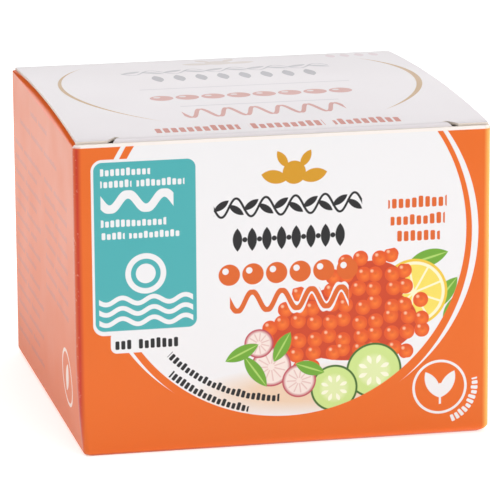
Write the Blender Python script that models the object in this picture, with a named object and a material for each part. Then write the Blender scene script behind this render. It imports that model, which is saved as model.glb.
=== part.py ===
"""A small square folding carton, shut, as a printed pack for a jar of fish roe is sold.

The carton is one piece of board, so it is one solid named "carton".
Frame: origin at the middle of the base, +X to the right along the front, +Y to the back, +Z up.
Each form has its own function below, and all of them are worked out from the sizes at the top.
"""
import math

import bmesh
import bpy

# Driving sizes, in metres
MM = 0.001
WIDTH = 68 * MM
DEPTH = 68 * MM
FRONT_HEIGHT = 51.4 * MM
BOARD = 0.45 * MM

# Upright creases, and the softer edge round the base
CREASE_RADIUS = 1.1 * MM
BASE_RADIUS = 0.7 * MM

# The lid: a panel hinged at the back, arched from front to back, and a little narrower than the box
LID_INSET = 0.5 * MM
LID_FRONT_RISE = 0.5 * MM
LID_ARCH = 1.1 * MM
LID_FUSE = 0.15 * MM
FOLD_RADIUS = 1.1 * MM

# The slits at both ends of the lid's front fold, each ending in a slanting cut
SLIT_LENGTH = 6.1 * MM
SLIT_GAP = 0.25 * MM
SLIT_REACH = 1.9 * MM
SLANT_RUN = 1.7 * MM
SLANT_WIDTH = 0.4 * MM

# The dust flaps, which swell up between the side creases and the lid
SIDE_CREASE_DROP = 0.55 * MM
FLAP_STEP_IN = 0.65 * MM

# The shallow lines where board ends on the base and at the glued seam behind
SEAM_WIDTH = 0.3 * MM
SEAM_DEPTH = 0.4 * MM
SEAM_INSET = 1.2 * MM

# How far each bottom corner is worn or pinched in, and how high that reaches, by its sides in x and y
CORNER_WEAR = {
    (-1, -1): (1.1 * MM, 17 * MM),
    (1, -1): (1.0 * MM, 1.3 * MM),
    (1, 1): (0.8 * MM, 1.1 * MM),
    (-1, 1): (0.8 * MM, 1.1 * MM),
}
WEAR_CURVE = 1.5
WEAR_HEIGHTS = [1.1 * MM, 1.3 * MM, 3 * MM, 6 * MM, 10 * MM, 17 * MM]

# How finely the curves are cut
CORNER_STEPS = 6
FOLD_STEPS = 8
ARCH_STEPS = 28
FLAP_STEPS = 5

# Working margin of the shapes that trim the carton
SPARE = 4 * MM

HALF_WIDTH = WIDTH / 2
HALF_DEPTH = DEPTH / 2
FOLD_FRONT = -HALF_DEPTH + BOARD
FOLD_BACK = FOLD_FRONT + FOLD_RADIUS
SLIT_START = HALF_WIDTH - SLIT_LENGTH


def lid_top(y):
    """Height of the lid's upper face: it rises from the front fold, arches and comes down to the back crease."""
    along = (y + HALF_DEPTH) / DEPTH
    arch = 4 * LID_ARCH * along * (1 - along)
    return FRONT_HEIGHT + LID_FRONT_RISE * (1 - along) + arch


def stations(start, end, steps):
    return [start + (end - start) * i / steps for i in range(steps + 1)]


def new_object(name, bm, material):
    mesh = bpy.data.meshes.new(name)
    bmesh.ops.recalc_face_normals(bm, faces=bm.faces)
    bm.to_mesh(mesh)
    bm.free()
    mesh.materials.append(material)
    obj = bpy.data.objects.new(name, mesh)
    bpy.context.scene.collection.objects.link(obj)
    return obj


def helper(obj):
    """A shape that only joins or trims the carton."""
    obj.hide_render = True
    obj.display_type = "WIRE"
    return obj


def loft(rings):
    """One closed mesh through rings of the same number of points, with a flat cap at each end."""
    bm = bmesh.new()
    loops = [[bm.verts.new(point) for point in ring] for ring in rings]
    for lower, upper in zip(loops, loops[1:]):
        for i in range(len(lower)):
            j = (i + 1) % len(lower)
            bm.faces.new((lower[i], lower[j], upper[j], upper[i]))
    bm.faces.new(reversed(loops[0]))
    bm.faces.new(loops[-1])
    return bm


def corner_wear(corner, z):
    """How far a corner is in from its true place at height z."""
    depth, reach = CORNER_WEAR[corner]
    return depth * max(0.0, 1 - z / reach) ** WEAR_CURVE


def wall_ring(z, inset):
    """The outline of the four walls at height z, with rounded upright creases."""
    points = []
    for k, corner in enumerate(((1, 1), (-1, 1), (-1, -1), (1, -1))):
        inward = inset + corner_wear(corner, z) + CREASE_RADIUS
        centre_x = corner[0] * (HALF_WIDTH - inward)
        centre_y = corner[1] * (HALF_DEPTH - inward)
        for turn in stations(k * math.pi / 2, (k + 1) * math.pi / 2, CORNER_STEPS):
            x = centre_x + CREASE_RADIUS * math.cos(turn)
            y = centre_y + CREASE_RADIUS * math.sin(turn)
            points.append((x, y, z))
    return points


def make_walls(material):
    """The box's four walls on its flat base, carried on above the lid to be trimmed."""
    rings = []
    for turn in stations(0, math.pi / 2, CORNER_STEPS):
        inset = BASE_RADIUS * (1 - math.sin(turn))
        rings.append(wall_ring(BASE_RADIUS * (1 - math.cos(turn)), inset))
    rings += [wall_ring(z, 0) for z in WEAR_HEIGHTS + [FRONT_HEIGHT + SPARE]]
    return new_object("carton", loft(rings), material)


def top_section(y, crown):
    """The carton's outline across at depth y, under a top at height crown, with swelling flaps at its sides."""
    low = FRONT_HEIGHT - SIDE_CREASE_DROP
    side = []
    for turn in stations(0, math.pi / 2, FLAP_STEPS):
        x = HALF_WIDTH - FLAP_STEP_IN * (1 - math.cos(turn))
        side.append((x, low + (crown - low) * math.sin(turn)))
    right = [(HALF_WIDTH + SPARE, -SPARE), (HALF_WIDTH + SPARE, low - SPARE)] + side
    left = [(-x, z) for x, z in reversed(right)]
    return [(x, y, z) for x, z in right + left]


def make_top_form(material):
    """What the walls are trimmed to: the front panel's top edge, then the flaps under the lid."""
    front_edge = [-HALF_DEPTH - SPARE, FOLD_FRONT]
    rings = [top_section(y, FRONT_HEIGHT) for y in front_edge]
    lid_start = FOLD_FRONT + LID_FUSE
    for y in stations(lid_start, HALF_DEPTH - CREASE_RADIUS, ARCH_STEPS):
        rings.append(top_section(y, lid_top(y) - BOARD + LID_FUSE))
    rings.append(top_section(HALF_DEPTH + SPARE, FRONT_HEIGHT - CREASE_RADIUS - SPARE))
    return helper(new_object("top_form", loft(rings), material))


def lid_profile(folded):
    """The lid from the side, as (y, z): its front is folded down, or ends in a cut edge."""
    under = BOARD + LID_FUSE / 2
    top = []
    if folded:
        fold_height = lid_top(FOLD_BACK)
        for turn in stations(0, math.pi / 2, FOLD_STEPS):
            y = FOLD_BACK - FOLD_RADIUS * math.cos(turn)
            top.append((y, fold_height - FOLD_RADIUS * (1 - math.sin(turn))))
        first = FOLD_BACK
    else:
        first = FOLD_FRONT
        top.append((first, lid_top(first)))
    last = HALF_DEPTH - CREASE_RADIUS
    top += [(y, lid_top(y)) for y in stations(first, last, ARCH_STEPS)[1:]]
    crease_height = lid_top(last)
    for turn in stations(0, math.pi / 2, FOLD_STEPS)[1:]:
        drop = CREASE_RADIUS * (1 - math.cos(turn))
        top.append((last + CREASE_RADIUS * math.sin(turn), crease_height - drop))
    bottom = [(HALF_DEPTH, FRONT_HEIGHT - SPARE), (last - SPARE, FRONT_HEIGHT - SPARE)]
    bottom += [(y, lid_top(y) - under) for y in reversed(stations(first, last - SPARE, ARCH_STEPS))]
    if folded:
        bottom += [(FOLD_BACK, FRONT_HEIGHT - SPARE), (FOLD_FRONT, FRONT_HEIGHT - SPARE)]
    return top + bottom


def make_lid_part(name, left, right, folded, material):
    """A stretch of the lid from x = left to x = right."""
    profile = lid_profile(folded)
    rings = [[(x, y, z) for y, z in profile] for x in (left, right)]
    return helper(new_object(name, loft(rings), material))


def make_slit(name, side, material):
    """The narrow gap between the front panel's edge and the lid's cut edge above it."""
    outer = side * (HALF_WIDTH + SPARE)
    inner = side * SLIT_START
    front = -HALF_DEPTH - SPARE
    back = FOLD_FRONT + SLIT_REACH
    rings = []
    for z in (FRONT_HEIGHT, FRONT_HEIGHT + SLIT_GAP):
        rings.append([(inner, front, z), (outer, front, z), (outer, back, z), (inner, back, z)])
    return helper(new_object(name, loft(rings), material))


def make_slant(name, side, material):
    """The slanting cut at a slit's inner end, through the lid's fold."""
    start = (side * SLIT_START, FOLD_FRONT - BOARD / 2)
    end = (start[0] - side * SLANT_RUN, start[1] + SLANT_RUN)
    rings = []
    for z in (FRONT_HEIGHT, FRONT_HEIGHT + SPARE):
        ring = [start, end]
        ring += [(x + side * SLANT_WIDTH, y) for x, y in (end, start)]
        rings.append([(x, y, z) for x, y in ring])
    return helper(new_object(name, loft(rings), material))


def make_box(name, lowest, highest, material):
    (x0, y0, z0), (x1, y1, z1) = lowest, highest
    rings = [[(x0, y0, z), (x1, y0, z), (x1, y1, z), (x0, y1, z)] for z in (z0, z1)]
    return helper(new_object(name, loft(rings), material))


def make_seams(material):
    """The base panel's cut edges at left, right and back, and the glued seam up the back."""
    side = HALF_WIDTH - SEAM_INSET
    back = HALF_DEPTH - SEAM_INSET
    front = -HALF_DEPTH + SEAM_INSET
    deep = HALF_DEPTH - SEAM_DEPTH
    seams = {
        "base_seam_left": ((-side, front, -SPARE), (-side + SEAM_WIDTH, back, SEAM_DEPTH)),
        "base_seam_right": ((side - SEAM_WIDTH, front, -SPARE), (side, back, SEAM_DEPTH)),
        "base_seam_back": ((-side, back - SEAM_WIDTH, -SPARE), (side, back, SEAM_DEPTH)),
        "glued_seam": (
            (side - SEAM_WIDTH, deep, SEAM_INSET),
            (side, HALF_DEPTH + SPARE, FRONT_HEIGHT - SEAM_INSET),
        ),
    }
    return [make_box(name, lowest, highest, material) for name, (lowest, highest) in seams.items()]


def add_boolean(obj, operation, other):
    cut = obj.modifiers.new(other.name, "BOOLEAN")
    cut.operation = operation
    cut.object = other
    cut.material_mode = "TRANSFER"


def make_material(name, colour, roughness):
    material = bpy.data.materials.new(name)
    material.use_nodes = True
    shader = material.node_tree.nodes["Principled BSDF"]
    shader.inputs["Base Color"].default_value = (*colour, 1)
    shader.inputs["Roughness"].default_value = roughness
    shader.inputs["Metallic"].default_value = 0
    return material


def clear_scene():
    for obj in list(bpy.data.objects):
        bpy.data.objects.remove(obj, do_unlink=True)


def make_carton():
    orange = make_material("orange_board", (0.85, 0.17, 0.02), 0.4)
    white = make_material("white_board", (0.84, 0.80, 0.82), 0.45)
    carton = make_walls(orange)
    add_boolean(carton, "INTERSECT", make_top_form(orange))
    lid_edge = HALF_WIDTH - LID_INSET
    overlap = LID_FUSE / 2
    stretches = {
        "lid_left": (-lid_edge, -SLIT_START + overlap, False),
        "lid_middle": (-SLIT_START, SLIT_START, True),
        "lid_right": (SLIT_START - overlap, lid_edge, False),
    }
    for name, (left, right, folded) in stretches.items():
        add_boolean(carton, "UNION", make_lid_part(name, left, right, folded, white))
    for word, side in (("left", -1), ("right", 1)):
        add_boolean(carton, "DIFFERENCE", make_slit(f"slit_{word}", side, white))
        add_boolean(carton, "DIFFERENCE", make_slant(f"slant_{word}", side, white))
    for seam in make_seams(orange):
        add_boolean(carton, "DIFFERENCE", seam)
    return carton


clear_scene()
make_carton()
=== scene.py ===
# A shut folding carton for a small jar of fish roe: its folded board, its print and the light on it.
#
# Each panel is a thin sheet of board, bent where the carton is creased, and stands for a stretch of the
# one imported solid. Sizes and places are in millimetres, and the meshes are made in metres.
import math

import bmesh
import bpy
from mathutils import Matrix, Vector


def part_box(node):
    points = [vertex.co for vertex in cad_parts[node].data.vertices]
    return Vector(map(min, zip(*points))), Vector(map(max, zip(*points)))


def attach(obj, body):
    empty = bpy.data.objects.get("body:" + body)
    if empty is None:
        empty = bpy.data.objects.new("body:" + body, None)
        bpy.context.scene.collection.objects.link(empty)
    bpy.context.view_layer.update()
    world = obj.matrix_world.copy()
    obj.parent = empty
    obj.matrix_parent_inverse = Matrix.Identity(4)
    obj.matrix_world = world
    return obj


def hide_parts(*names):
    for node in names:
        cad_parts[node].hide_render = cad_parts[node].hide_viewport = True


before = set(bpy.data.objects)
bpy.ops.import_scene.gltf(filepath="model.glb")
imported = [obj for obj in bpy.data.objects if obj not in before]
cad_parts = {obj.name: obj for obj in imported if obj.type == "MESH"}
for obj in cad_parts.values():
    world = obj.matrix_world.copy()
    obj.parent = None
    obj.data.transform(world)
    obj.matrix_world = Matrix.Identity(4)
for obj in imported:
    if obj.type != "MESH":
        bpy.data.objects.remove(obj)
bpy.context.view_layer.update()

MM = 0.001
lowest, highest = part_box("carton")

# The carton's driving sizes
WIDTH = round((highest.x - lowest.x) / MM, 3)
DEPTH = round((highest.y - lowest.y) / MM, 3)
HALF_WIDTH = WIDTH / 2
HALF_DEPTH = DEPTH / 2
FRONT_HEIGHT = 51.4
BOARD = 0.45
CREASE_RADIUS = 1.1
BASE_RADIUS = 0.7
RAW_EDGE = "raw edge"

# How far each bottom corner is worn or pinched in, how high that reaches, and how it fades upwards
FRONT_LEFT, FRONT_RIGHT, BACK_RIGHT, BACK_LEFT = (-1, -1), (1, -1), (1, 1), (-1, 1)
CORNER_WEAR = {FRONT_LEFT: (1.1, 17), FRONT_RIGHT: (1.0, 1.3), BACK_RIGHT: (0.8, 1.1), BACK_LEFT: (0.8, 1.1)}
WEAR_CURVE = 1.5

# The lid, hinged at the back and tucked in behind the front panel
LID_INSET = 0.5
LID_FRONT_RISE = 0.5
LID_ARCH = 1.1
FOLD_RADIUS = 1.1
FOLD_FRONT = -HALF_DEPTH + BOARD
FOLD_BACK = FOLD_FRONT + FOLD_RADIUS
TUCK_DEPTH = 2.5

# The slits at the ends of the lid's fold: where they end, the slanting cut there, and the tabs beside it
SLIT_LENGTH = 6.1
SLIT_START = HALF_WIDTH - SLIT_LENGTH
SLANT_RUN = 1.7
SLANT_WIDTH = 0.9
SLANT_END = FOLD_FRONT - BOARD / 2 + SLANT_RUN
TAB_DROOP = 0.1

# The dust flaps, which swell up between the side creases and the lid
SIDE_TOP = FRONT_HEIGHT - 0.55
FLAP_STEP_IN = 0.65
FLAP_REACH = 4
FLAP_START = FOLD_FRONT + 0.1

# The glued seam on the back, and how far the base panel's cut edges are in
SEAM_X = HALF_WIDTH - 1.5
TAB_STEP = 0.5
TAB_WIDTH = 3
BASE_PANEL_INSET = 1.5

# How far the front's sheet wraps round, how far walls dish in, and how finely all of it is cut
WRAP = 0.6
DISH = 0.1
WELD = 0.0001
CREASE_STEPS = 10
PANEL_STEPS = 24
HEIGHTS = (1.1, 1.3, 2, 3, 4.5, 6, 8, 10, 12.5, 15, 17, 21, 25, 29, 33, 37, 41, 44.5, 47.5, 49.5)

# Inks, as bytes, and colours painted on the board as light and shade
ORANGE = (234, 105, 0)
WHITE = (241, 239, 240)
TEAL = (70, 174, 177)
GOLD = (214, 152, 10)
BLACK = (14, 10, 14)
PAPER = (248, 240, 234)
CREAM = (251, 242, 233)
DARK_CREAM = (234, 216, 198)
PRINT_ORANGE = (222, 98, 18)
RING_WHITE = (255, 232, 220)
# Painted light: the dust flaps' orange is lighter than the sides' orange, standing in for the light on their
# swell
FLAP_LIT_ORANGE = (255, 106, 8)
SIDE_INK = (150, 96, 110)
WORN_INK = (252, 196, 160)
# Painted shade: a deeper red for the front's left crease, which faces away from the light
CREASE_SHADE_RED = (206, 46, 0)
# Painted highlight: a pale orange for the front's right crease, where the light from the right glances
CREASE_HIGHLIGHT_PALE = (250, 200, 96)
# Painted shade: a brown for the rounding where the front turns under to the base
BASE_CREASE_SHADE_BROWN = (150, 48, 0)
LID_WHITE = (247, 240, 243)
LID_GOLD = (198, 152, 86)
LID_BEIGE = (226, 212, 204)
LID_PINK = (230, 206, 212)
LID_GREY = (142, 139, 150)
LID_ORANGE = (202, 90, 60)
DEEP_ORANGE = (206, 62, 6)
PEARL_RIM = (228, 82, 6)
PEARL_GLOW = (250, 126, 30)
PEARL_SHINE = (255, 214, 176)
LEMON_RIND = (240, 200, 60)
LEMON_PITH = (252, 244, 206)
LEMON = (246, 222, 96)
DARK_GREEN = (62, 108, 34)
CUCUMBER = (206, 228, 140)
CUCUMBER_HEART = (228, 238, 178)
CUCUMBER_SEED = (250, 250, 222)
LEAF_GREEN = (110, 168, 42)
PALE_GREEN = (176, 212, 104)
RADISH = (246, 228, 220)
RADISH_SKIN = (190, 70, 84)
RADISH_RAY = (222, 176, 170)
BROTH = (236, 178, 96)

# The prints' pearls, in millimetres, and the strokes of small print, in shares of their pitch and height
PEARL_PITCH = 2.55
PEARL_RADIUS = 1.26
SHARP_CHOICE = 60
STROKE_SHARE = 0.7
STROKE_CORE = 0.35
STROKE_SPREAD = 0.3
ROW_SHIFT = 7

# Where the front's disc and ring are, how much of its upper edge is bare, and the side's rows
DISC_CENTRE, DISC_RADIUS = (34.34, 16.85), 29.54
RING_CENTRE, RING_RADIUS = (59.6, 43.1), 4.35
BARE_TOP = 0.55
SIDE_ROWS = 14
SIDE_ROWS_START = 11.7
SIDE_ROW_PITCH = 2.6
SIDE_ROW_HEIGHT = 1.0
SHORT_BLOCK_END = 30
SIDE_RING = (56, 41)

# The board's finish: gloss, the relief of its fibres and waves, and how ink wears along a crease
ROUGHNESS = 0.34
GLOSS_SPREAD = 0.1
SCUFF = 0.1
VARNISH_IOR = 1.45
FIBRE_HEIGHT = 0.006
WAVINESS_HEIGHT = 0.25
WEAR_ONSET = 0.6
WEAR_GAIN = 4
WEAR_REACH = 0.5
WEAR_MOST = 0.45
RAW_ROUGHNESS = 0.85
RAW_FIBRE_HEIGHT = 0.05
RAW_MOTTLE = 0.5

# The grain of each of these: lumps in a millimetre, and how much finer detail they carry
WEAR_GRAIN = (1.6, 4.0)
GLOSS_GRAIN = (0.12, 3.0)
FIBRE_GRAIN = (2.6, 5.0)
WAVINESS_GRAIN = (0.05, 1.0)
RAW_MOTTLE_GRAIN = (3.0, 4.0)
RAW_FIBRE_GRAIN = (5.0, 4.0)

# The photograph's view: the camera's place in metres, its turns in degrees and its lens
CAMERA_PLACE = (-0.1204, -0.5865, 0.17007)
CAMERA_HEADING = -11.72
CAMERA_DIP = 13.656
CAMERA_ROLL = -0.376
CAMERA_LENS = 262.08
SENSOR_WIDTH = 36
CLIP_START = 0.05

# The floor in metres, and its glow as pairs of a distance from the middle and a strength; the weaker glow
# near the middle is a painted shade round the carton's foot
FLOOR_HALF = 0.5
FLOOR_CELLS = 8
FLOOR_DROP = 0.00002
FLOOR_GREY = 0.8
FLOOR_ROUGHNESS = 0.9
GLOW_NEAR = (0.036, 0.64)
GLOW_FAR = (0.1, 1.0)

# The lights, which all face one point: name, place and size in metres, and power in watts
LIT_POINT = (0, 0, 0.03)
LIGHTS = [
    ("key", (0.85, -0.5, 0.35), (0.5, 0.5), 3.1),
    ("front", (0.2, -0.8, 0.75), (0.5, 0.4), 2.25),
    ("top", (-0.1, 0.0, 0.9), (0.8, 0.8), 3.9),
    ("left", (-0.8, 0.1, 0.6), (0.5, 0.5), 0.7),
    ("back card", (0.5, 1.5, 0.5), (1.2, 0.7), 4.2),
]
WORLD_STRENGTH = 0.06


# Shapes

def lerp(a, b, share):
    return a + (b - a) * share


def stations(start, end, steps):
    return [lerp(start, end, i / steps) for i in range(steps + 1)]


def lid_top(y):
    """Height of the lid's upper face at depth y."""
    along = (y + HALF_DEPTH) / DEPTH
    return FRONT_HEIGHT + LID_FRONT_RISE * (1 - along) + 4 * LID_ARCH * along * (1 - along)


def corner_point(corner, turn, z, inset, step=0):
    """A point on an upright crease, turned from +X, with the back's glued tab a step further in."""
    depth, reach = CORNER_WEAR[corner]
    inward = inset + depth * max(0.0, 1 - z / reach) ** WEAR_CURVE + CREASE_RADIUS
    x = corner[0] * (HALF_WIDTH - inward) + CREASE_RADIUS * math.cos(turn)
    y = corner[1] * (HALF_DEPTH - inward) + CREASE_RADIUS * math.sin(turn) - step
    return Vector((x, y, z))


def crease(corner, start, end, step=0):
    """The columns of a wall's grid round an upright crease."""
    return [
        lambda z, inset, turn=turn: corner_point(corner, turn, z, inset, step)
        for turn in stations(start, end, CREASE_STEPS)
    ]


def flat(start, start_turn, end, end_turn, shares, step=0):
    """The columns of a wall's flat stretch between two creases, dished a little in the middle."""
    def column(share):
        def place(z, inset):
            a = corner_point(start, start_turn, z, inset)
            b = corner_point(end, end_turn, z, inset, step)
            dish = DISH * math.sin(math.pi * share) ** 2 * math.sin(math.pi * z / FRONT_HEIGHT) ** 2
            inward = Vector((-math.cos(start_turn), -math.sin(start_turn), 0))
            return a.lerp(b, share) + inward * dish
        return place
    return [column(share) for share in shares]


def base_rounding(start=0.0):
    """Rows round the base's edge: pairs of height and inset."""
    rows = []
    for turn in stations(start, math.pi / 2, 6):
        rows.append((BASE_RADIUS * (1 - math.cos(turn)), BASE_RADIUS * (1 - math.sin(turn))))
    return rows


def flap_turned_in():
    """Rows of the flap that a side or back wall turns in above the base panel."""
    return [(0.5, 4.0), (0.5, 1.9), (0.25, 1.4), (0.03, 1.0)] + base_rounding(0.3)


def wall(columns, rows, top):
    """A wall's grid of points; top gives the height of its upper edge at a point of its top row."""
    grid = [[column(z, inset) for column in columns] for z, inset in rows]
    last = []
    for column in columns:
        point = column(FRONT_HEIGHT, 0)
        last.append(Vector((point.x, point.y, top(point))))
    return grid + [last]


def front_top(point):
    """The front panel's upper edge falls to the side creases at its corners."""
    out = abs(point.x) - (HALF_WIDTH - FLAP_STEP_IN)
    share = min(1.0, max(0.0, out / FLAP_STEP_IN))
    return lerp(SIDE_TOP, FRONT_HEIGHT, math.sqrt(1 - share ** 2))


def add_grid(bm, rows):
    made = [[bm.verts.new(point * MM) for point in row] for row in rows]
    for row, above in zip(made, made[1:]):
        for i in range(len(row) - 1):
            bm.faces.new((row[i], row[i + 1], above[i + 1], above[i]))


def face_outwards(bm):
    """Turn every face away from the carton's middle."""
    middle = Vector((0, 0, FRONT_HEIGHT / 2 * MM))
    bmesh.ops.recalc_face_normals(bm, faces=bm.faces)
    outward = sum(face.calc_area() * face.normal.dot(face.calc_center_median() - middle) for face in bm.faces)
    if outward < 0:
        bmesh.ops.reverse_faces(bm, faces=bm.faces)
    bm.normal_update()


def thicken(bm):
    """Give the sheet its board's thickness, inwards; the back and the cut edges are raw board."""
    outer = list(bm.faces)
    cut = [edge for edge in bm.edges if edge.is_boundary]
    inner = {vert: bm.verts.new(vert.co - vert.normal * BOARD * MM) for vert in list(bm.verts)}
    rims = []
    for edge in cut:
        loop = next(loop for loop in edge.link_faces[0].loops if loop.edge == edge)
        a, b = loop.vert, loop.link_loop_next.vert
        rims.append(bm.faces.new((b, a, inner[a], inner[b])))
    backs = [bm.faces.new([inner[vert] for vert in reversed(face.verts)]) for face in outer]
    for face in rims + backs:
        face.material_index = 1
    for face in outer + backs:
        face.smooth = True
    for face in rims:
        for edge in face.edges:
            edge.smooth = all(other in rims for other in edge.link_faces)


def make_board(name, grids, print_material):
    """One sheet of printed board, named and fixed to the frame."""
    bm = bmesh.new()
    for rows in grids:
        add_grid(bm, rows)
    bmesh.ops.remove_doubles(bm, verts=bm.verts, dist=WELD * MM)
    face_outwards(bm)
    thicken(bm)
    mesh = bpy.data.meshes.new(name)
    bm.to_mesh(mesh)
    bm.free()
    mesh.materials.append(print_material)
    mesh.materials.append(bpy.data.materials[RAW_EDGE])
    obj = bpy.data.objects.new(name, mesh)
    bpy.context.scene.collection.objects.link(obj)
    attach(obj, "root")
    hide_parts("carton")
    return obj


EVEN = [i / PANEL_STEPS for i in range(1, PANEL_STEPS)]
NEAR = WRAP / (DEPTH - 2 * CREASE_RADIUS)
LEFT, FRONT, RIGHT, BACK = math.pi, 1.5 * math.pi, 0.0, 0.5 * math.pi


def make_front(material):
    """The front, with both front creases and the crease to the base, under a raw upper edge."""
    columns = flat(FRONT_LEFT, LEFT, BACK_LEFT, LEFT, [NEAR])
    columns += crease(FRONT_LEFT, LEFT, FRONT)
    columns += flat(FRONT_LEFT, FRONT, FRONT_RIGHT, FRONT, EVEN)
    columns += crease(FRONT_RIGHT, FRONT, 2 * math.pi)
    columns += flat(FRONT_RIGHT, 2 * math.pi, BACK_RIGHT, RIGHT, [NEAR])
    rows = [(0, BASE_PANEL_INSET)] + base_rounding() + [(z, 0) for z in HEIGHTS]
    return make_board("front_panel", [wall(columns, rows, front_top)], material)


def make_left(material):
    columns = flat(FRONT_LEFT, LEFT, BACK_LEFT, LEFT, [NEAR] + EVEN[1:] + [1])
    rows = flap_turned_in() + [(z, 0) for z in HEIGHTS]
    return make_board("side_left", [wall(columns, rows, lambda point: SIDE_TOP)], material)


def make_right(material):
    """The right side, with the crease behind it and the glued tab that lies under the back panel."""
    columns = flat(FRONT_RIGHT, RIGHT, BACK_RIGHT, RIGHT, [NEAR] + EVEN[1:], TAB_STEP)
    columns += crease(BACK_RIGHT, RIGHT, BACK, TAB_STEP)
    end = TAB_WIDTH / (WIDTH - 2 * CREASE_RADIUS)
    columns += [
        lambda z, inset: corner_point(BACK_RIGHT, BACK, z, inset, TAB_STEP) - Vector((WIDTH * end, 0, 0))
    ]
    rows = flap_turned_in() + [(z, 0) for z in HEIGHTS]
    return make_board("side_right", [wall(columns, rows, lambda point: SIDE_TOP)], material)


def back_crease_height():
    return lid_top(HALF_DEPTH - CREASE_RADIUS) - CREASE_RADIUS


def make_back(material):
    """The back, with the crease on its left and a raw edge at the glued seam."""
    flat_width = WIDTH - 2 * CREASE_RADIUS
    seam = (SEAM_X + HALF_WIDTH - CREASE_RADIUS) / flat_width
    columns = crease(BACK_LEFT, LEFT, BACK)
    columns += flat(BACK_LEFT, BACK, BACK_RIGHT, BACK, [share for share in EVEN if share < seam] + [seam])
    rows = flap_turned_in() + [(z, 0) for z in HEIGHTS]
    return make_board("back_panel", [wall(columns, rows, lambda point: back_crease_height())], material)


def make_base(material):
    edge = HALF_WIDTH - BASE_PANEL_INSET
    columns = stations(-edge, edge, PANEL_STEPS)
    rows = stations(-HALF_DEPTH + BASE_PANEL_INSET, HALF_DEPTH - BASE_PANEL_INSET, PANEL_STEPS)
    return make_board("base_panel", [[[Vector((x, y, 0)) for x in columns] for y in rows]], material)


def make_dust_flap(name, side, material):
    """A side's dust flap where it swells up to the lid, and goes on in under it."""
    grid = []
    for y in stations(FLAP_START, HALF_DEPTH - CREASE_RADIUS, 2 * PANEL_STEPS):
        crown = lid_top(y) - BOARD
        row = []
        for turn in stations(0, math.pi / 2, 8):
            x = HALF_WIDTH - FLAP_STEP_IN * (1 - math.cos(turn))
            row.append(Vector((side * x, y, lerp(SIDE_TOP, crown, math.sin(turn)))))
        row.append(Vector((side * (HALF_WIDTH - FLAP_STEP_IN - FLAP_REACH), y, crown)))
        grid.append(row)
    return make_board(name, [grid], material)


def lid_rows():
    """The lid's rows from the slanting cuts back to the back panel, as pairs of half width and (y, z)."""
    edge = HALF_WIDTH - LID_INSET
    last = HALF_DEPTH - CREASE_RADIUS
    rows = [(edge, (y, lid_top(y))) for y in stations(SLANT_END, last, 2 * PANEL_STEPS)]
    for turn in stations(0, math.pi / 2, CREASE_STEPS)[1:]:
        y = last + CREASE_RADIUS * math.sin(turn)
        z = back_crease_height() + CREASE_RADIUS * math.cos(turn)
        rows.append((lerp(edge, HALF_WIDTH - CREASE_RADIUS, turn / (math.pi / 2)), (y, z)))
    return rows


def make_lid(material):
    """The lid with its back crease, the fold in front, and a flat tab beyond each slanting cut."""
    edge = HALF_WIDTH - LID_INSET
    cut = SLIT_START - SLANT_RUN
    tab = stations(cut + SLANT_WIDTH, edge, 8)
    middle = stations(-cut, cut, 2 * PANEL_STEPS)
    across = [-x for x in reversed(tab)] + middle + tab
    panel = [[Vector((x * half / edge, y, z)) for x in across] for half, (y, z) in lid_rows()]
    grids = [panel]
    for side in (-1, 1):
        grid = []
        for y in stations(SLANT_END, FOLD_FRONT, 4):
            share = (SLANT_END - y) / (SLANT_END - FOLD_FRONT)
            slant = SLANT_END - y
            drop = TAB_DROOP * share ** 2
            inner = cut + SLANT_WIDTH + slant
            row = []
            for x in tab:
                place = lerp(inner, edge, (x - tab[0]) / (edge - tab[0]))
                row.append(Vector((side * place, y, lid_top(y) - drop)))
            grid.append(row)
        grids.append(grid)
    fold = [(y, lid_top(y)) for y in stations(SLANT_END, FOLD_BACK, 3)]
    height = lid_top(FOLD_BACK)
    for turn in stations(0, math.pi / 2, CREASE_STEPS)[1:]:
        fold.append((FOLD_BACK - FOLD_RADIUS * math.sin(turn), height - FOLD_RADIUS * (1 - math.cos(turn))))
    fold.append((FOLD_FRONT, FRONT_HEIGHT - TUCK_DEPTH))
    grid = []
    for y, z in fold:
        half = cut + min(SLANT_RUN, SLANT_END - y)
        grid.append([Vector((x * half / cut, y, z)) for x in middle])
    grids.append(grid)
    return make_board("lid", grids, material)


# Node tools

def linear(colour):
    """A colour given as bytes, such as a screen shows, as the shader takes it."""
    values = [byte / 255 for byte in colour]
    return [v / 12.92 if v <= 0.04045 else ((v + 0.055) / 1.055) ** 2.4 for v in values] + [1]


class Field:
    """A number that varies over the surface, worked out by a material's nodes."""

    def __init__(self, tree, socket):
        self.tree = tree
        self.socket = socket

    def math(self, operation, *others, clamp=False):
        node = self.tree.nodes.new("ShaderNodeMath")
        node.operation = operation
        node.use_clamp = clamp
        for value, socket in zip((self, *others), node.inputs):
            plug(self.tree, value, socket)
        return Field(self.tree, node.outputs[0])

    def __add__(self, other):
        return self.math("ADD", other)

    def __sub__(self, other):
        return self.math("SUBTRACT", other)

    def __mul__(self, other):
        return self.math("MULTIPLY", other)

    def __truediv__(self, other):
        return self.math("DIVIDE", other)

    def __abs__(self):
        return self.math("ABSOLUTE")

    def __neg__(self):
        return self.math("MULTIPLY", -1)

    def least(self, other):
        return self.math("MINIMUM", other)

    def most(self, other):
        return self.math("MAXIMUM", other)

    def wrapped(self, pitch):
        """The number counted from the middle of each stretch as long as the pitch."""
        return self.math("FLOORED_MODULO", pitch) - pitch / 2

    def mask(self, softness):
        """One where a distance is inside its shape, and nought outside."""
        return self.math("MULTIPLY_ADD", -1 / softness, 0.5, clamp=True)


def plug(tree, value, socket):
    if isinstance(value, Field):
        tree.links.new(value.socket, socket)
    else:
        socket.default_value = value


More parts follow.
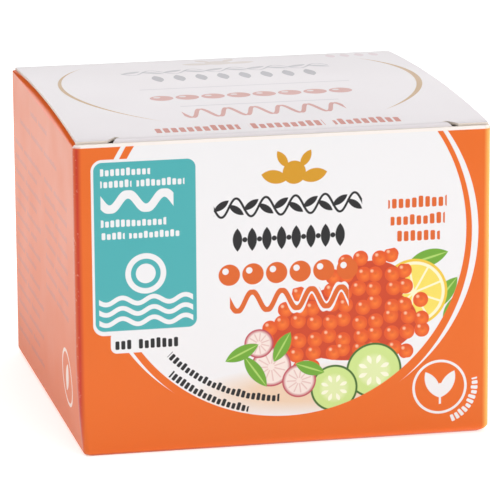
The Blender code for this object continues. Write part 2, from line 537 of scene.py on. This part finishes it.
def length(x, y):
    """How far a point is from the middle, from its distances across and along."""
    tree = x.tree
    join = tree.nodes.new("ShaderNodeCombineXYZ")
    plug(tree, x, join.inputs[0])
    plug(tree, y, join.inputs[1])
    measure = tree.nodes.new("ShaderNodeVectorMath")
    measure.operation = "LENGTH"
    tree.links.new(join.outputs[0], measure.inputs[0])
    return Field(tree, measure.outputs["Value"])


def turned(x, y, degrees):
    """The same point measured along axes turned clockwise on the print."""
    cosine, sine = math.cos(math.radians(degrees)), math.sin(math.radians(degrees))
    return x * cosine + y * sine, y * cosine - x * sine


def span(place, start, end):
    """A distance that is under nought between start and end."""
    return abs(place - (start + end) / 2) - (end - start) / 2


def leaf(x, y, long, wide):
    """A pointed leaf whose tips are up and down."""
    radius = (long ** 2 + wide ** 2) / (4 * wide)
    return length(abs(x) + (radius - wide / 2), y) - radius


def wave(x, y, pitch, swing, stroke):
    """A wavy line along x, as wide as the stroke all the way."""
    turn = x * (2 * math.pi / pitch)
    slope = turn.math("COSINE") * (swing * 2 * math.pi / pitch)
    steepness = (slope * slope + 1).math("SQRT")
    return abs(y - turn.math("SINE") * swing) / steepness - stroke / 2


# The Mix node's sockets for colours: the share, the colours under and over, and the result
MIX_SHARE, MIX_UNDER, MIX_OVER, MIX_RESULT = 0, 6, 7, 2


class Sheet:
    """The print of one panel: colours laid over each other, placed in millimetres across and down."""

    INK_EDGE = 0.09

    def __init__(self, name, across, down, ground):
        self.material = bpy.data.materials.new(name)
        self.material.use_nodes = True
        self.tree = self.material.node_tree
        self.shader = self.tree.nodes["Principled BSDF"]
        place = self.tree.nodes.new("ShaderNodeTexCoord")
        split = self.tree.nodes.new("ShaderNodeSeparateXYZ")
        self.place = place.outputs["Object"]
        self.tree.links.new(self.place, split.inputs[0])
        axes = {axis: Field(self.tree, split.outputs[axis]) for axis in "XYZ"}
        self.u = self.measured(axes, across)
        self.v = self.measured(axes, down)
        self.colour = None
        self.ground = linear(ground)

    def measured(self, axes, rule):
        """A distance in millimetres along an axis, as (start, direction, axis)."""
        start, direction, axis = rule
        return axes[axis].math("MULTIPLY_ADD", direction / MM, start)

    def mix(self, share, colour):
        node = self.tree.nodes.new("ShaderNodeMix")
        node.data_type = "RGBA"
        plug(self.tree, share, node.inputs[MIX_SHARE])
        if self.colour is None:
            node.inputs[MIX_UNDER].default_value = self.ground
        else:
            self.tree.links.new(self.colour, node.inputs[MIX_UNDER])
        node.inputs[MIX_OVER].default_value = linear(colour)
        self.colour = node.outputs[MIX_RESULT]

    def ink(self, distance, colour, strength=1.0, softness=INK_EDGE):
        """Lay a colour inside the shape whose edge is where the distance is nought."""
        share = distance.mask(softness)
        if strength != 1.0:
            share = share * strength
        self.mix(share, colour)

    def disc(self, u, v, radius):
        return length(self.u - u, self.v - v) - radius

    def box(self, u, v, radius):
        """A box from u[0] to u[1] and v[0] to v[1], with rounded corners."""
        across = abs(self.u - (u[0] + u[1]) / 2) - ((u[1] - u[0]) / 2 - radius)
        along = abs(self.v - (v[0] + v[1]) / 2) - ((v[1] - v[0]) / 2 - radius)
        return length(across.most(0), along.most(0)) - radius

    def crescent(self, inside, outside):
        """What is in one circle and out of the other, each given as (u, v, radius)."""
        return self.disc(*inside).most(-self.disc(*outside))

    def oval(self, u, v, half_u, half_v):
        """An upright oval, as a distance that is right near its edge."""
        return (length((self.u - u) / half_u, (self.v - v) / half_v) - 1) * min(half_u, half_v)

    def noise(self, per_mm, detail):
        """Even noise from nought to one, with so many lumps in each millimetre."""
        node = self.tree.nodes.new("ShaderNodeTexNoise")
        node.inputs["Scale"].default_value = per_mm / MM
        node.inputs["Detail"].default_value = detail
        self.tree.links.new(self.place, node.inputs["Vector"])
        return Field(self.tree, node.outputs[0])

    def strokes(self, along, rise, pitch, height):
        """Short upright strokes of uneven height, which stand on the line where rise is nought."""
        number = (along / pitch).math("FLOOR")
        draw = self.tree.nodes.new("ShaderNodeTexWhiteNoise")
        draw.noise_dimensions = "1D"
        plug(self.tree, number, draw.inputs["W"])
        uneven = Field(self.tree, draw.outputs["Value"]) * (height * STROKE_SPREAD)
        tall = uneven + height * (1 - STROKE_SPREAD)
        half = STROKE_SHARE * pitch / 2
        across = abs(along.wrapped(pitch)) - half * STROKE_CORE
        upright = abs(rise - tall / 2) - (tall / 2 - half * (1 - STROKE_CORE))
        return length(across.most(0), upright.most(0)) - half * (1 - STROKE_CORE)

    def words(self, rows, pitch, colour, strength=1.0):
        """Rows that stand for small print: uneven strokes, with gaps between one group and the next."""
        for (top, bottom), groups in rows:
            shape = span(self.u, *groups[0])
            for group in groups[1:]:
                shape = shape.least(span(self.u, *group))
            row = self.strokes(self.u + top * ROW_SHIFT * pitch, -self.v + bottom, pitch, bottom - top)
            self.ink(shape.most(row), colour, strength)

    def curved_words(self, centre, radius, height, start, end, pitch, colour):
        """The same along an arc, from one angle to another, in degrees from the right, turning down."""
        x, y = self.u - centre[0], self.v - centre[1]
        along = y.math("ARCTAN2", x) * radius
        ends = span(along, math.radians(start) * radius, math.radians(end) * radius)
        row = self.strokes(along, -length(x, y) + (radius + height / 2), pitch, height)
        self.ink(row.most(ends), colour)

    def leaves(self, u, v, pitch, long, wide, colour, strength=1.0):
        """A row of upright leaves from u[0] to u[1]."""
        shape = leaf((self.u - u[0]).wrapped(pitch), self.v - v, long, wide)
        self.ink(shape.most(span(self.u, *u)), colour, strength)

    def pearls(self, u, v, pitch, radius, colour, strength=1.0, shine=WHITE):
        """A row of pearls from u[0] to u[1], each with a spot of shine."""
        x, y = (self.u - u[0]).wrapped(pitch), self.v - v
        ends = span(self.u, *u)
        self.ink((length(x, y) - radius).most(ends), colour, strength)
        spot = length(x + radius * 0.35, y + radius * 0.35) - radius * 0.3
        self.ink(spot.most(ends), shine, strength)

    def vine(self, u, v, pitch, swing, stroke, colour, strength=1.0):
        """A wavy stem with a leaf in each bend, from u[0] to u[1]."""
        x, y = self.u - u[0], self.v - v
        ends = span(self.u, *u)
        self.ink(wave(x, y, pitch, swing, stroke).most(ends), colour, strength)
        for start, lean, side in ((0.25, 55, 1), (0.75, -55, -1)):
            local = turned((x - pitch * (start - 0.5)).wrapped(pitch), y + side * swing * 0.25, lean)
            self.ink(leaf(*local, swing * 2.0, swing * 0.75).most(ends), colour, strength)

    def leaf_at(self, u, v, lean, long, wide, colour, strength=1.0):
        self.ink(leaf(*turned(self.u - u, self.v - v, lean), long, wide), colour, strength)


def board_finish(sheet, creases, scuff=0.0):
    """Varnished print on fibrous board: fibres, a slow waviness, uneven gloss, and wear along creases.

    The creases are distances in millimetres from a fold, and may be none. Scuff makes it less glossy.
    """
    tree, shader = sheet.tree, sheet.shader
    for crease_distance in creases:
        flecks = (sheet.noise(*WEAR_GRAIN) - WEAR_ONSET) * WEAR_GAIN
        near = (abs(crease_distance) - WEAR_REACH).mask(WEAR_REACH)
        sheet.mix((flecks * near).least(WEAR_MOST).most(0), WORN_INK)
    if sheet.colour is None:
        shader.inputs["Base Color"].default_value = sheet.ground
    else:
        tree.links.new(sheet.colour, shader.inputs["Base Color"])
    gloss = sheet.noise(*GLOSS_GRAIN) * GLOSS_SPREAD + (ROUGHNESS - GLOSS_SPREAD / 2) + scuff
    plug(tree, gloss, shader.inputs["Roughness"])
    shader.inputs["IOR"].default_value = VARNISH_IOR
    relief = sheet.noise(*FIBRE_GRAIN) * FIBRE_HEIGHT + sheet.noise(*WAVINESS_GRAIN) * WAVINESS_HEIGHT
    bump = tree.nodes.new("ShaderNodeBump")
    bump.inputs["Distance"].default_value = MM
    plug(tree, relief, bump.inputs["Height"])
    tree.links.new(bump.outputs["Normal"], shader.inputs["Normal"])


def make_raw_edge():
    """The cut edges and the unprinted inside of the board: pale fibres with no varnish."""
    sheet = Sheet(RAW_EDGE, (HALF_WIDTH, 1, "X"), (FRONT_HEIGHT, -1, "Z"), CREAM)
    sheet.mix(sheet.noise(*RAW_MOTTLE_GRAIN) * RAW_MOTTLE, DARK_CREAM)
    sheet.tree.links.new(sheet.colour, sheet.shader.inputs["Base Color"])
    sheet.shader.inputs["Roughness"].default_value = RAW_ROUGHNESS
    bump = sheet.tree.nodes.new("ShaderNodeBump")
    bump.inputs["Distance"].default_value = MM
    plug(sheet.tree, sheet.noise(*RAW_FIBRE_GRAIN) * RAW_FIBRE_HEIGHT, bump.inputs["Height"])
    sheet.tree.links.new(bump.outputs["Normal"], sheet.shader.inputs["Normal"])


def front_label(sheet):
    """A teal label: dashes and a wave above, and a sun over three waves below."""
    sheet.ink(sheet.box((2.7, 19.65), (2.55, 31.2), 1.8), WHITE)
    sheet.ink(sheet.box((3.1, 19.5), (3.0, 30.5), 1.4), TEAL)
    sheet.words([((3.9, 5.2), [(4.2, 12.2)]), ((5.8, 7.1), [(4.2, 9.2), (10.0, 17.7)])], 0.85, WHITE)
    big = wave(sheet.u - 4.2, sheet.v - 9.45, 5.85, 1.15, 1.35)
    sheet.ink(big.most(span(sheet.u, 4.2, 15.9)), WHITE)
    sheet.words([((12.2, 13.5), [(4.2, 14.7)]), ((14.3, 15.5), [(4.2, 8.0), (8.7, 17.0)])], 0.85, WHITE)
    sheet.ink(sheet.disc(11.3, 21.3, 3.3), WHITE)
    sheet.ink(sheet.disc(11.3, 21.3, 2.4), TEAL)
    sheet.ink(sheet.disc(11.3, 21.3, 1.6), WHITE)
    for height in (25.6, 27.3, 29.0):
        ripple = wave(sheet.u - 3.6, sheet.v - height, 5.1, 0.5, 0.75)
        sheet.ink(ripple.most(span(sheet.u, 3.7, 18.9)), WHITE)


def pearl_heap(sheet):
    """A heap of orange pearls: whole pearls wherever their middle is in the heap, over a deep ground."""
    heap = [(44.8, 31.4, 13.6, 7.8), (48.2, 25.4, 7.8, 5.6), (37.5, 33.6, 8.8, 5.2)]
    ground = sheet.oval(*heap[0])
    for part in heap[1:]:
        ground = ground.least(sheet.oval(*part))
    sheet.ink(ground + 1.5, DEEP_ORANGE)
    tree = sheet.tree
    join = tree.nodes.new("ShaderNodeCombineXYZ")
    plug(tree, sheet.u, join.inputs[0])
    plug(tree, sheet.v, join.inputs[1])
    cells = tree.nodes.new("ShaderNodeTexVoronoi")
    cells.voronoi_dimensions = "2D"
    cells.inputs["Scale"].default_value = 1 / PEARL_PITCH
    cells.inputs["Randomness"].default_value = 0.42
    tree.links.new(join.outputs[0], cells.inputs["Vector"])
    split = tree.nodes.new("ShaderNodeSeparateXYZ")
    tree.links.new(cells.outputs["Position"], split.inputs[0])
    middle_u, middle_v = Field(tree, split.outputs[0]), Field(tree, split.outputs[1])
    inside = None
    for u, v, half_u, half_v in heap:
        part = length((middle_u - u) / half_u, (middle_v - v) / half_v) - 1
        inside = part if inside is None else inside.least(part)
    x, y = sheet.u - middle_u, sheet.v - middle_v
    away = length(x, y)
    chosen = inside * SHARP_CHOICE
    sheet.ink((away - PEARL_RADIUS).most(chosen), PEARL_RIM)
    glow = length(x - 0.15, y - 0.25) - PEARL_RADIUS * 0.45
    sheet.ink(glow.most(chosen), PEARL_GLOW, 0.85, 1.0)
    core = length(x - 0.1, y + 0.1) - PEARL_RADIUS * 0.16
    sheet.ink(core.most(chosen), DEEP_ORANGE, 0.5, 0.5)
    shine = length(x + 0.48, y + 0.55) - 0.22
    sheet.ink(shine.most(chosen), PEARL_SHINE, 0.85, 0.3)


def slice_of_lemon(sheet, u, v, radius):
    sheet.ink(sheet.disc(u, v, radius), LEMON_RIND)
    sheet.ink(sheet.disc(u, v, radius - 0.45), LEMON_PITH)
    x, y = sheet.u - u, sheet.v - v
    away = length(x, y)
    spoke = abs(y.math("ARCTAN2", x).wrapped(2 * math.pi / 9)) * away - 0.16
    sheet.ink((away - (radius - 0.95)).most(-spoke), LEMON)


def slice_of_cucumber(sheet, u, v, radius):
    sheet.ink(sheet.disc(u, v, radius), DARK_GREEN)
    sheet.ink(sheet.disc(u, v, radius - 0.35), CUCUMBER)
    sheet.ink(sheet.disc(u, v, radius * 0.55), CUCUMBER_HEART, 0.9, 0.8)
    x, y = sheet.u - u, sheet.v - v
    seeds = y.math("ARCTAN2", x).wrapped(2 * math.pi / 8) * (radius * 0.42)
    seed = leaf(seeds, length(x, y) - radius * 0.42, radius * 0.34, radius * 0.15)
    sheet.ink(seed, CUCUMBER_SEED)


def slice_of_radish(sheet, u, v, radius):
    sheet.ink(sheet.disc(u, v, radius), RADISH_SKIN)
    sheet.ink(sheet.disc(u, v, radius - 0.4), RADISH, 1.0, 0.5)
    x, y = sheet.u - u, sheet.v - v
    away = length(x, y)
    rays = abs(y.math("ARCTAN2", x).wrapped(2 * math.pi / 11)) * away - 0.1
    sheet.ink(rays.most(abs(away - radius * 0.45) - radius * 0.28), RADISH_RAY, 0.7)


def food_picture(sheet):
    """A serving of pearls with lemon, cucumber, radish and leaves."""
    for u, v, lean, long in ((60.2, 27.5, 40, 7), (57.5, 21.4, 75, 7), (61.5, 31.0, 10, 6)):
        sheet.leaf_at(u, v, lean, long, 2.8, LEAF_GREEN)
        sheet.leaf_at(u, v, lean, long, 0.35, PALE_GREEN)
    slice_of_lemon(sheet, 55.2, 27.0, 5.6)
    sheet.ink(sheet.oval(38, 42.2, 15, 3.2), BROTH, 0.55, 2.5)
    pearl_heap(sheet)
    slice_of_cucumber(sheet, 48.6, 39.6, 4.6)
    slice_of_cucumber(sheet, 42.0, 42.2, 3.9)
    for u, v, radius in ((31.6, 38.0, 3.3), (36.2, 40.6, 2.8), (29.6, 34.0, 2.4)):
        slice_of_radish(sheet, u, v, radius)
    sprigs = ((29.0, 38.6, -35, 6.5), (33.4, 34.8, 30, 5.5), (26.8, 35.4, 65, 6), (38.0, 38.6, -70, 5))
    for u, v, lean, long in sprigs:
        sheet.leaf_at(u, v, lean, long, 2.3, LEAF_GREEN)
        sheet.leaf_at(u, v, lean, long, 0.3, PALE_GREEN)


def gold_ornament(sheet, u, v, scale, colour, strength=1.0):
    """A pearl with a leaf on each side of it, and two smaller leaves above."""
    sheet.ink(sheet.disc(u, v, 1.9 * scale), colour, strength)
    for side in (-1, 1):
        for out, down, lean, long, wide in ((3.2, 0.6, 78, 4.4, 2.2), (1.9, -2.2, 32, 3.2, 1.4)):
            place = (u + side * out * scale, v + down * scale)
            sheet.leaf_at(*place, side * lean, long * scale, wide * scale, colour, strength)


def ring_mark(sheet):
    """A white ring round two leaves, with dashes along its lower right."""
    sheet.ink(abs(sheet.disc(*RING_CENTRE, RING_RADIUS)) - 0.21, WHITE)
    sheet.leaf_at(58.4, 42.7, -28, 5.0, 2.0, WHITE)
    sheet.leaf_at(60.9, 42.7, 28, 5.0, 2.0, WHITE)
    sheet.ink(span(sheet.u, 59.5, 59.85).most(span(sheet.v, 42.5, 46.0)), WHITE)
    sheet.curved_words(RING_CENTRE, 5.75, 1.3, -12, 72, 0.8, WHITE)


def front_print():
    """A white disc on orange, with a label, ornament, rows of print, and a picture of the food."""
    sheet = Sheet("front print", (HALF_WIDTH, 1, "X"), (FRONT_HEIGHT, -1, "Z"), WHITE)
    food_picture(sheet)
    sheet.ink(-sheet.disc(*DISC_CENTRE, DISC_RADIUS), ORANGE)
    sheet.ink(sheet.crescent((36.4, 17.31, 29.5), (33.74, 17.34, 31.1)), WHITE)
    sheet.ink(sheet.crescent((32.69, 16.76, 29.89), (35.37, 16.8, 31.52)), WHITE)
    sheet.ink(sheet.v - BARE_TOP, PAPER)
    sheet.ink(sheet.box((5.5, 16.8), (30.6, 34.2), 1.0), WHITE)
    front_label(sheet)
    sheet.words([((31.8, 33.6), [(6.0, 9.0), (9.9, 16.4)])], 0.95, BLACK)
    gold_ornament(sheet, 35.5, 6.1, 1.0, GOLD)
    sheet.vine((22.4, 46.6), 11.4, 4.84, 1.5, 0.38, BLACK)
    sheet.leaves((25.0, 44.2), 16.7, 2.4, 3.8, 1.55, BLACK)
    dots = length((sheet.u - 26.2).wrapped(2.4), sheet.v - 16.7) - 0.42
    sheet.ink(dots.most(span(sheet.u, 26.8, 42.4)), BLACK)
    sheet.pearls((22.9, 46.1), 22.4, 3.867, 1.75, PRINT_ORANGE)
    script = wave(sheet.u - 24.9, sheet.v - 26.9, 4.875, 1.5, 0.85)
    script_ends = span(sheet.u, 24.9, 44.4)
    sheet.ink((script - 0.35).most(script_ends), WHITE)
    sheet.ink(script.most(script_ends), PRINT_ORANGE)
    rows = [((10.9, 12.9), [(50.9, 60.6)]), ((13.8, 15.7), [(51.3, 60.3)]), ((16.5, 18.4), [(52.4, 59.5)])]
    sheet.words(rows, 1.1, PRINT_ORANGE)
    sheet.curved_words(DISC_CENTRE, 26.4, 1.35, 93, 137, 0.85, BLACK)
    sheet.curved_words(DISC_CENTRE, 28.6, 1.35, 103, 132, 0.85, BLACK)
    ring_mark(sheet)
    printed = -sheet.v + BARE_TOP
    # Painted shade down the front's left crease, in a deeper red
    sheet.ink(span(sheet.u, 0.15, 0.9).most(printed), CREASE_SHADE_RED, 1.0, 0.7)
    # Painted highlight down the front's right crease
    sheet.ink(span(sheet.u, WIDTH - 0.8, WIDTH + 1).most(printed), CREASE_HIGHLIGHT_PALE, 0.8, 0.9)
    # Painted shade along the front's lowest rounding, where it turns under to the base
    sheet.ink(-sheet.v + (FRONT_HEIGHT - BASE_RADIUS / 2), BASE_CREASE_SHADE_BROWN, 0.8, 0.4)
    board_finish(sheet, [sheet.u, sheet.u - WIDTH])
    return sheet.material


def side_print(name, across):
    """Orange, with small rows in two blocks and a ring. The back has it too."""
    sheet = Sheet(name, across, (FRONT_HEIGHT, -1, "Z"), ORANGE)
    rows = [
        ((3.3, 4.3), [(22.0, 29.5), (30.7, 40.0)]),
        ((7.1, 8.1), [(9.5, 21.0), (22.2, 35.0), (36.2, 50.0)]),
    ]
    for i in range(SIDE_ROWS):
        top = SIDE_ROWS_START + i * SIDE_ROW_PITCH
        row = (top, top + SIDE_ROW_HEIGHT)
        gap = 12.0 + (i * 4) % 7
        rows.append((row, [(3.0, gap), (gap + 1.4, 32.5 - (i * 5) % 9)]))
        if top < SHORT_BLOCK_END:
            gap = 45.0 + (i * 3) % 5
            rows.append((row, [(36.0, gap), (gap + 1.2, 60.0)]))
    sheet.words(rows, 0.8, SIDE_INK, 0.35)
    sheet.ink(abs(sheet.disc(*SIDE_RING, 4.6)) - 0.3, RING_WHITE)
    sheet.leaf_at(*SIDE_RING, 30, 6.0, 2.4, RING_WHITE)
    board_finish(sheet, [], sheet.v * (SCUFF / FRONT_HEIGHT))
    return sheet.material


def plain_print(name, across, ground):
    sheet = Sheet(name, across, (FRONT_HEIGHT, -1, "Z"), ground)
    board_finish(sheet, [])
    return sheet.material


def lid_print():
    """Pale, with a broken ring of gold round faint grey and orange rows."""
    sheet = Sheet("lid print", (HALF_WIDTH, 1, "X"), (HALF_DEPTH, -1, "Y"), LID_WHITE)
    sheet.ink(sheet.crescent((41.91, 29.54, 37.85), (44.91, 29.24, 40.18)), LID_GOLD)
    sheet.ink(sheet.crescent((27.71, 29.05, 37.56), (22.76, 28.37, 41.56)), LID_GOLD)
    gold_ornament(sheet, 35.2, 7.6, 1.2, LID_BEIGE, 0.8)
    sheet.leaves((54.6, 65.0), 5.1, 2.6, 4.4, 1.6, LID_PINK, 0.7)
    sheet.vine((16.6, 53.0), 15.9, 7.28, 2.2, 0.45, LID_GREY, 0.5)
    sheet.leaves((19.9, 50.1), 22.9, 3.775, 6.6, 1.9, LID_GREY, 0.75)
    sheet.ink(span(sheet.u, 16.9, 52.8).most(span(sheet.v, 32.55, 33.05)), LID_GREY, 0.3)
    sheet.pearls((17.0, 51.6), 40.7, 4.325, 1.95, LID_ORANGE, 0.75, LID_WHITE)
    sheet.ink(span(sheet.u, 21.0, 47.5).most(span(sheet.v, 47.4, 47.9)), LID_GREY, 0.3)
    script = wave(sheet.u - 20.4, sheet.v - 53.0, 4.46, 2.6, 0.8)
    sheet.ink(script.most(span(sheet.u, 20.4, 47.2)), LID_ORANGE, 0.8)
    groups = [(13.7, 27.6), (29.2, 41.4), (43.0, 53.9)]
    sheet.words([((61.2, 64.9), groups)], 1.3, LID_ORANGE, 0.95)
    board_finish(sheet, [])
    return sheet.material


# The photograph's view

def make_camera():
    data = bpy.data.cameras.new("camera")
    data.sensor_width = SENSOR_WIDTH
    data.lens = CAMERA_LENS
    data.clip_start = CLIP_START
    camera = bpy.data.objects.new("camera", data)
    faced = Matrix.Rotation(math.radians(CAMERA_HEADING), 4, "Z")
    raised = Matrix.Rotation(math.radians(90 - CAMERA_DIP), 4, "X")
    rolled = Matrix.Rotation(math.radians(CAMERA_ROLL), 4, "Z")
    camera.matrix_world = Matrix.Translation(CAMERA_PLACE) @ faced @ raised @ rolled
    bpy.context.scene.collection.objects.link(camera)
    bpy.context.scene.camera = camera


# Floor and light

def make_floor():
    """A pale floor that glows, brightest away from the carton: the weaker glow near it paints a faint shade
    round its foot, which the sides mirror.
    """
    bm = bmesh.new()
    bmesh.ops.create_grid(bm, x_segments=FLOOR_CELLS, y_segments=FLOOR_CELLS, size=FLOOR_HALF)
    mesh = bpy.data.meshes.new("floor")
    bm.to_mesh(mesh)
    bm.free()
    floor = bpy.data.objects.new("floor", mesh)
    floor.location.z = -FLOOR_DROP
    bpy.context.scene.collection.objects.link(floor)
    material = bpy.data.materials.new("pale floor")
    material.use_nodes = True
    tree = material.node_tree
    shader = tree.nodes["Principled BSDF"]
    shader.inputs["Base Color"].default_value = (FLOOR_GREY, FLOOR_GREY, FLOOR_GREY, 1)
    shader.inputs["Roughness"].default_value = FLOOR_ROUGHNESS
    shader.inputs["Emission Color"].default_value = (1, 1, 1, 1)
    place = tree.nodes.new("ShaderNodeTexCoord")
    away = tree.nodes.new("ShaderNodeVectorMath")
    away.operation = "LENGTH"
    tree.links.new(place.outputs["Object"], away.inputs[0])
    # The glow fades towards the carton, painting a soft shade round its foot
    glow = tree.nodes.new("ShaderNodeMapRange")
    glow.interpolation_type = "SMOOTHSTEP"
    for name, (distance, strength) in (("Min", GLOW_NEAR), ("Max", GLOW_FAR)):
        glow.inputs[f"From {name}"].default_value = distance
        glow.inputs[f"To {name}"].default_value = strength
    tree.links.new(away.outputs["Value"], glow.inputs["Value"])
    tree.links.new(glow.outputs["Result"], shader.inputs["Emission Strength"])
    mesh.materials.append(material)


def make_light(name, place, size, power):
    data = bpy.data.lights.new(name, "AREA")
    data.shape = "RECTANGLE"
    data.size, data.size_y = size
    data.energy = power
    light = bpy.data.objects.new(name, data)
    light.location = place
    light.rotation_euler = (Vector(LIT_POINT) - Vector(place)).to_track_quat("-Z", "Y").to_euler()
    light.visible_camera = False
    bpy.context.scene.collection.objects.link(light)


def make_world():
    world = bpy.data.worlds.new("studio")
    bpy.context.scene.world = world
    world.use_nodes = True
    background = world.node_tree.nodes["Background"]
    background.inputs["Color"].default_value = (1, 1, 1, 1)
    background.inputs["Strength"].default_value = WORLD_STRENGTH


make_raw_edge()
make_front(front_print())
from_behind = (HALF_DEPTH, -1, "Y")
from_right = (HALF_WIDTH, -1, "X")
make_left(side_print("left side print", from_behind))
make_right(side_print("right side print", from_behind))
make_back(side_print("back print", from_right))
make_base(plain_print("base print", from_right, ORANGE))
# The dust flaps take a lighter orange as painted light on their swell
flap = plain_print("dust flap print", from_behind, FLAP_LIT_ORANGE)
make_dust_flap("dust_flap_left", -1, flap)
make_dust_flap("dust_flap_right", 1, flap)
make_lid(lid_print())
make_camera()
make_floor()
make_world()
for light in LIGHTS:
    make_light(*light)
bpy.context.scene.view_settings.view_transform = "Standard"
